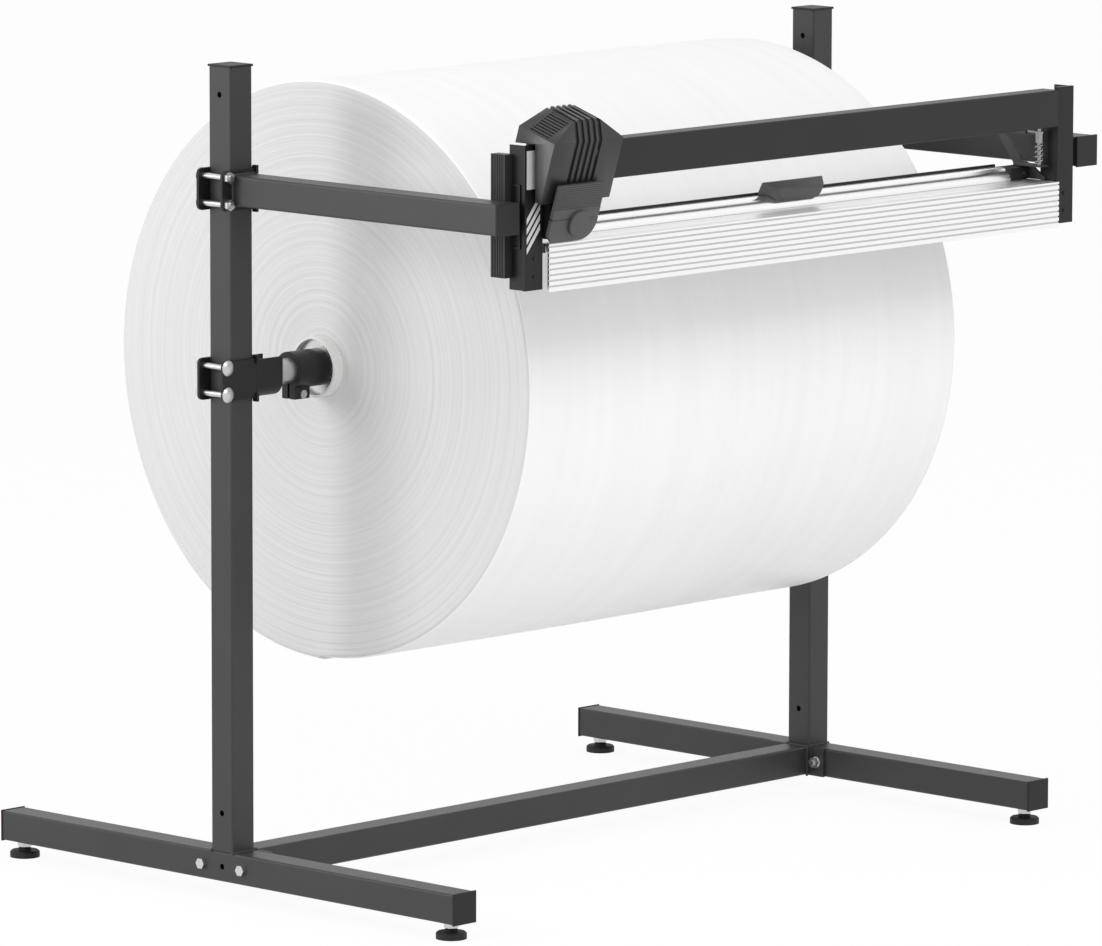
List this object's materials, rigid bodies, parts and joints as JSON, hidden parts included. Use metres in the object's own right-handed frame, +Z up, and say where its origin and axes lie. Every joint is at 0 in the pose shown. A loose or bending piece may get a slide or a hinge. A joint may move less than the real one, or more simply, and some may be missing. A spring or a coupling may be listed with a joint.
{
  "type": "floor-standing wrap roll dispenser with sliding cutter",
  "caption": "Upright roll stand on two feet, with a roll on a clamped axle and a sliding cutter head on a guide beam over a cutting table with a sprung clamping rail.",
  "frame": {"origin": "on the floor, in the middle of the footprint; the posts' centre plane is 58 mm behind it", "axes": "+X along the roll's axle to the operator's right, -Y towards the operator and the cutter, +Z up"},
  "size_m": [1.201, 0.966, 1.095],
  "materials": {
    "frame_paint": "satin",
    "clamp_paint": "satin",
    "bracket_paint": "satin",
    "zinc_steel": "brushed",
    "axle_steel": "satin",
    "black_plastic": "matt",
    "hub_plastic": "matt",
    "white_nylon": "matt",
    "profile_grey": "anodised",
    "beam_grey": "anodised",
    "table_aluminium": "satin",
    "rail_aluminium": "polished",
    "core_board": "matt",
    "wrap_white": "matt",
    "head_grey": "satin",
    "panel_grey": "satin",
    "handle_grey": "satin",
    "spring_steel": "bright",
    "blade_steel": "bright",
    "blank_label": "matt"
  },
  "bodies": {
    "base": {"foot_tube_left": "frame_paint", "foot_tube_right": "frame_paint", "post_left": "frame_paint", "post_right": "frame_paint", "post_caps": "black_plastic", "foot_end_caps": "black_plastic", "cross_beam": "frame_paint", "cross_beam_end_plates": "frame_paint", "frame_bolts": "zinc_steel", "frame_nuts": "zinc_steel", "levelling_jam_nuts": "zinc_steel"},
    "front_left_foot": {"levelling_foot_front_left": "black_plastic"},
    "front_right_foot": {"levelling_foot_front_right": "black_plastic"},
    "rear_left_foot": {"levelling_foot_rear_left": "black_plastic"},
    "rear_right_foot": {"levelling_foot_rear_right": "black_plastic"},
    "axle_carriers": {"saddle_bracket_right": "clamp_paint", "saddle_bracket_left": "clamp_paint", "saddle_plates": "clamp_paint", "axle_bearing_pads": "white_nylon", "saddle_bolts": "zinc_steel", "saddle_nuts": "zinc_steel"},
    "roll": {"axle_tube": "axle_steel", "hub_left": "hub_plastic", "hub_right": "hub_plastic", "hub_cones": "zinc_steel", "hub_screws": "zinc_steel", "roll_core": "core_board", "wrap_roll": "wrap_white"},
    "cutter_frame": {"arm_clamp_bracket_right": "clamp_paint", "arm_clamp_bracket_left": "clamp_paint", "arm_clamp_plates": "clamp_paint", "arm_clamp_bolts": "zinc_steel", "arm_clamp_nuts": "zinc_steel", "arm_right": "frame_paint", "arm_left": "frame_paint", "arm_end_caps": "black_plastic", "side_mount_profiles": "profile_grey", "side_bracket_right": "bracket_paint", "side_bracket_left": "bracket_paint", "bracket_screws": "zinc_steel", "label_plate": "blank_label", "guide_beam": "beam_grey", "table_extrusion": "table_aluminium", "guide_pins": "zinc_steel", "rail_spring": "spring_steel"},
    "rail": {"clamping_rail": "rail_aluminium", "rail_edge_strip": "black_plastic", "rail_handle": "handle_grey", "rail_end_blocks": "black_plastic", "rail_carrier_right": "bracket_paint", "rail_carrier_left": "bracket_paint"},
    "head": {"head_cover": "head_grey", "head_carriage": "black_plastic", "glide_pads": "white_nylon", "blade_cover": "panel_grey"},
    "button": {"head_button": "panel_grey"},
    "blade": {"blade_holder": "black_plastic", "cutting_blade": "blade_steel"},
    "lock_knob": {"blade_lock_knob": "panel_grey"}
  },
  "joints": [
    {"name": "front_left_foot_thread", "type": "slide", "parent": "base", "child": "front_left_foot", "axis": [0, 0, -1], "range_m": [0, 0.012]},
    {"name": "front_right_foot_thread", "type": "slide", "parent": "base", "child": "front_right_foot", "axis": [0, 0, -1], "range_m": [0, 0.012]},
    {"name": "rear_left_foot_thread", "type": "slide", "parent": "base", "child": "rear_left_foot", "axis": [0, 0, -1], "range_m": [0, 0.012]},
    {"name": "rear_right_foot_thread", "type": "slide", "parent": "base", "child": "rear_right_foot", "axis": [0, 0, -1], "range_m": [0, 0.012]},
    {"name": "axle_height", "type": "slide", "parent": "base", "child": "axle_carriers", "axis": [0, 0, 1], "range_m": [-0.2, 0.18]},
    {"name": "roll_spin", "type": "hinge", "parent": "axle_carriers", "child": "roll", "pos_m": [0, 0.058, 0.685], "axis": [1, 0, 0], "continuous": true},
    {"name": "cutter_height", "type": "slide", "parent": "base", "child": "cutter_frame", "axis": [0, 0, 1], "range_m": [-0.18, 0.12]},
    {"name": "rail_lift", "type": "slide", "parent": "cutter_frame", "child": "rail", "axis": [0, 0, 1], "range_m": [0, 0.012], "stiffness_N_per_m": 800, "springref_m": -0.01, "deforming": ["rail_spring"]},
    {"name": "head_travel", "type": "slide", "parent": "cutter_frame", "child": "head", "axis": [1, 0, 0], "range_m": [0, 0.894]},
    {"name": "button_press", "type": "slide", "parent": "head", "child": "button", "axis": [0, 0.9537, 0.3007], "range_m": [0, 0.004], "stiffness_N_per_m": 800, "springref_m": -0.004},
    {"name": "blade_drop", "type": "slide", "parent": "head", "child": "blade", "axis": [0, 0, -1], "range_m": [0, 0.006]},
    {"name": "knob_turn", "type": "hinge", "parent": "head", "child": "lock_knob", "pos_m": [-0.456, -0.46179, 0.92249], "axis": [0, 0.9537, 0.3007], "range_deg": [0, 90]}
  ],
  "couplings": [
    {"joint": "blade_drop", "follows": "button_press", "ratio": 1.5}
  ]
}
